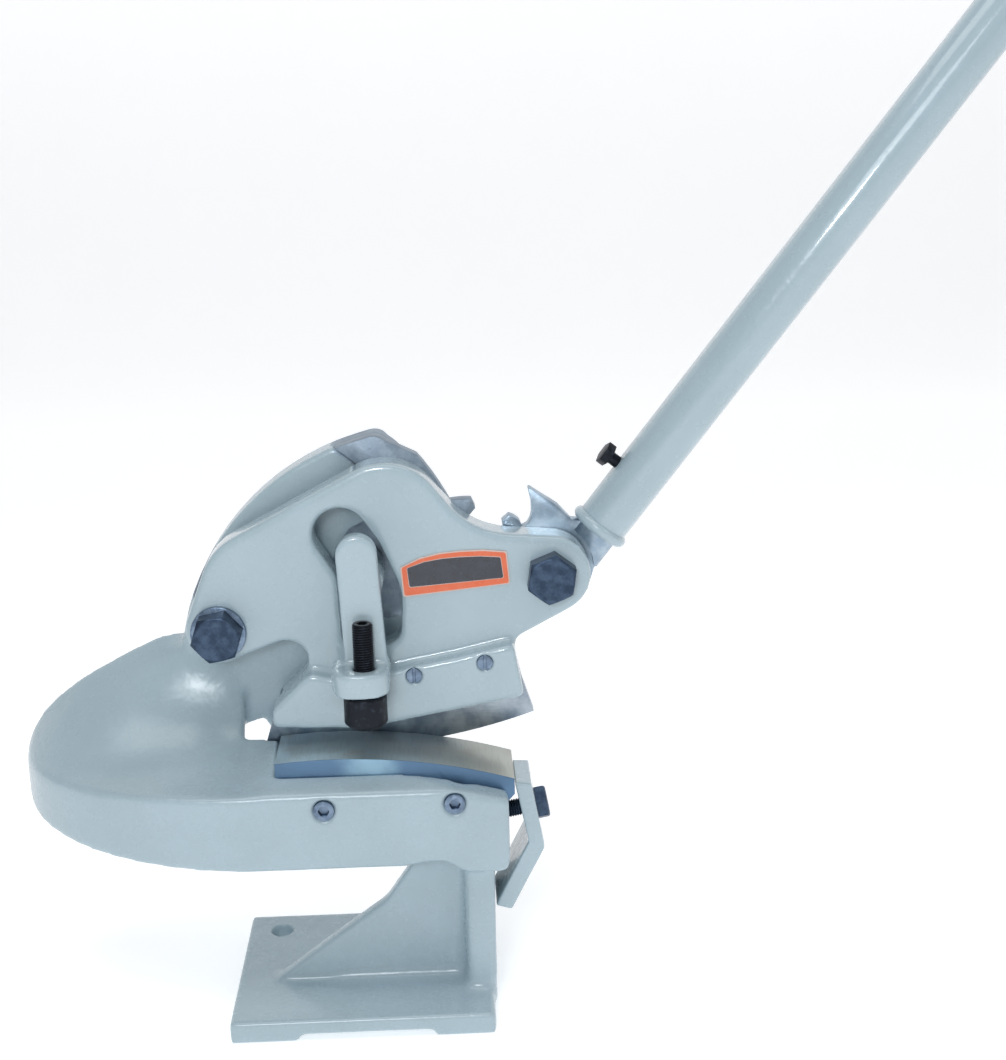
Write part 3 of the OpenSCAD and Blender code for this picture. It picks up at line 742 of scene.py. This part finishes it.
def bolt(node, finish, pivot, head_turn):
    """Hexagon head bolt along Y with a rolled thread at its far end."""
    lo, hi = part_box(node)
    shank, across, head = 0.012, 0.036, 0.015
    thread, pitch, overlap = 0.030, 0.003, 0.001
    front = axis_place(Vector((pivot.x, lo.y + head, pivot.z)), (0, -1, 0))
    cap = hex_rows(
        across, head - 0.0003, front, chamfer=0.2, turn=math.radians(head_turn)
    )
    back = axis_place(Vector((pivot.x, lo.y + head - overlap, pivot.z)), (0, 1, 0))
    length = hi.y - lo.y - head + overlap
    rows = turned([(shank, 0.0), (shank, length - thread - 0.001)], back)
    rows += thread_rows(shank - 0.00002, pitch, length - thread, length, back)
    turned_piece(node, "dark_bolt", finish, cap, rows)


def hold_screw(finish):
    """Long socket screw with its thread cut full length."""
    node = "hold_down_screw"
    lo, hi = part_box(node)
    middle = (lo + hi) / 2
    place = Matrix.Translation((middle.x, middle.y, 0))
    radius, pitch = (hi.x - lo.x) / 2, 0.002
    rows = thread_rows(radius, pitch, lo.z, hi.z, place, per_turn=10, fade=0.7)
    socket, drill = hex_radius(0.008), 0.003
    floor = hi.z - 0.006
    rows += turned([(socket, hi.z), (socket, floor), (drill, floor - 0.0015)], place)
    turned_piece(node, "black_oxide", finish, rows)


def clamp_bolt(finish):
    """Hexagon bolt through the strap, threaded where it crosses the gap to the table."""
    across, height, shank, pitch = 0.024, 0.0087, 0.00699, 0.002
    lean = math.radians(10.5)
    direction = Vector((math.cos(lean), 0, math.sin(lean)))
    strap_face = Vector((0.1446, -0.010, 0.161))
    head = axis_place(strap_face + direction * 0.0001, direction)
    cap = hex_rows(across, height, head, chamfer=0.16, turn=math.radians(30))
    rows = thread_rows(shank, pitch, -0.040, 0.0005, head)
    turned_piece("clamp_screw", "dark_bolt", finish, cap, rows)


def build_fasteners():
    blued = dark_bolt()
    black = black_oxide()
    plated = zinc()
    bolt("arm_pivot_bolt", blued, ARM_PIVOT, 12)
    bolt("lever_pivot_bolt", blued, LEVER_PIVOT, 22)
    hold_screw(black)
    clamp_bolt(blued)
    crisp("handle_lock_screw", black, 0.5)
    crisp("hold_down_foot", black, 0.5)
    crisp("hold_down_bolt", blued, 0.5)
    for node in ("arm_pivot_nut", "lever_pivot_nut"):
        crisp(node, blued, 0.5)
    for node in ("arm_pivot_washers", "lever_pivot_washer"):
        crisp(node, plated, 0.45)
    for node in ("upper_blade_screws", "lower_blade_screws"):
        crisp(node, plated, 0.3)
    crisp("sector_screws", black, 0.3)


# ---------- label and handle ----------
# Each field's share of the plate's width and height, its rise, lift and material
LABEL_FIELDS = (
    (0.975, 0.94, 0, 0.0001, 1),
    (0.885, 0.66, 0.0014, 0.0002, 0),
    (0.875, 0.63, 0.0014, 0.0003, 2),
)


def build_label():
    """Plain label: an orange border round a dark field, with a thin pale line between them."""
    node = "name_plate"
    border = printed("label_border", rgb(222, 96, 48), rgb(226, 116, 76))
    line = printed("label_line", rgb(206, 178, 168), rgb(214, 190, 180))
    field = printed("label_field", rgb(30, 34, 46), rgb(48, 54, 70))
    bm = welded(node)
    bmesh.ops.recalc_face_normals(bm, faces=bm.faces)
    front = max((f for f in bm.faces if f.normal.y < -0.9), key=lambda f: f.calc_area())
    outline = [v.co.copy() for v in front.verts]
    lo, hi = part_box(node)
    middle = (lo + hi) / 2
    for wide, tall, rise, lift, index in LABEL_FIELDS:
        ring = []
        for p in outline:
            x = middle.x + (p.x - middle.x) * wide
            z = middle.z + (p.z - middle.z) * tall + rise
            ring.append(bm.verts.new((x, p.y - lift, z)))
        bm.faces.new(ring).material_index = index
    mesh = finished_mesh(bm, node)
    add_piece(node + "_fine", mesh, node, [line, border, field])


def build_handle():
    tube = enamel("tube_enamel")
    crisp("handle_collar", tube, 1.2, 3)
    crisp("handle_tube", tube, 0.3)
    crisp("handle_end_cap", cap_plastic(), 0.8, 3)


# ---------- surroundings ----------
def build_stage():
    """Pale floor that curves up far behind the object."""
    front, back, top = -6.0, 2.5, 7.0
    half_width = 9
    bend, parts = 1.2, 12
    run = [(front, 0.0), (back, 0.0)]
    for i in range(1, parts + 1):
        a = math.pi / 2 * i / parts
        run.append((back + bend * math.sin(a), bend * (1 - math.cos(a))))
    run.append((back + bend, top))
    bm = bmesh.new()
    rows = [[bm.verts.new((x, y, z)) for x in (-half_width, half_width)] for y, z in run]
    for a, b in zip(rows, rows[1:]):
        bm.faces.new((a[0], a[1], b[1], b[0]))
    mesh = bpy.data.meshes.new("floor")
    bm.to_mesh(mesh)
    bm.free()
    mesh.shade_smooth()
    look = Look("floor_paint")
    tone = look.mix(look.noise(3, 2), rgb(246, 247, 248), rgb(250, 250, 251))
    mesh.materials.append(look.shade(color=tone, rough=0.9, specular=0.1))
    look.put(look.shader.inputs["Emission Color"], (1, 1, 1, 1))
    look.put(look.shader.inputs["Emission Strength"], 0.42)
    floor = bpy.data.objects.new("floor", mesh)
    bpy.context.scene.collection.objects.link(floor)


def area_light(name, place, target, size, power, tint=(1, 1, 1)):
    """Rectangular light, size wide and tall in metres, its power in watts."""
    data = bpy.data.lights.new(name, "AREA")
    data.shape = "RECTANGLE"
    data.size, data.size_y = size
    data.energy = power
    data.color = tint
    lamp = bpy.data.objects.new(name, data)
    bpy.context.scene.collection.objects.link(lamp)
    lamp.location = place
    lamp.rotation_mode = "QUATERNION"
    aim = Vector(target) - Vector(place)
    lamp.rotation_quaternion = aim.to_track_quat("-Z", "Y")


def build_lights():
    cool = (0.93, 0.97, 1.0)
    area_light("key", (-0.35, -2.2, 1.5), (0, 0, 0.3), (1.1, 0.62), 8, cool)
    area_light("lamp", (-0.2, -1.75, 1.0), (0.1, 0, 0.4), (0.3, 0.2), 7, cool)
    area_light("above", (0.0, -0.45, 2.3), (0, 0, 0.25), (2.2, 1.0), 15)
    area_light("right", (2.3, -0.9, 1.4), (0.1, 0, 0.4), (0.5, 1.6), 5)
    world = bpy.data.worlds.new("room")
    bpy.context.scene.world = world
    world.use_nodes = True
    background = world.node_tree.nodes["Background"]
    background.inputs["Color"].default_value = (0.93, 0.96, 1.0, 1)
    background.inputs["Strength"].default_value = 0.3


def build_camera():
    """Camera at the viewing angle of the reference: slightly right of square, looking down."""
    place = (0.07718, -1.22329, 0.71409)
    # Turn to the right, downward tilt and roll, in radians
    yaw, pitch, roll = 0.0369, 0.2601, -0.0212
    ahead = Vector((math.sin(yaw), math.cos(yaw), 0)) * math.cos(pitch)
    ahead.z = -math.sin(pitch)
    side = Vector((math.cos(yaw), -math.sin(yaw), 0))
    up = side.cross(ahead)
    right = math.cos(roll) * side + math.sin(roll) * up
    top = -math.sin(roll) * side + math.cos(roll) * up
    data = bpy.data.cameras.new("camera")
    data.sensor_width = 36
    data.lens = 55.05
    data.clip_start = 0.05
    data.clip_end = 60
    camera = bpy.data.objects.new("camera", data)
    bpy.context.scene.collection.objects.link(camera)
    turn = Matrix((right, top, -ahead)).transposed().to_4x4()
    camera.matrix_world = Matrix.Translation(place) @ turn
    bpy.context.scene.camera = camera
    bpy.context.scene.view_settings.view_transform = "Standard"


build_camera()
build_stage()
build_lights()
build_castings()
build_steel()
build_fasteners()
build_label()
build_handle()
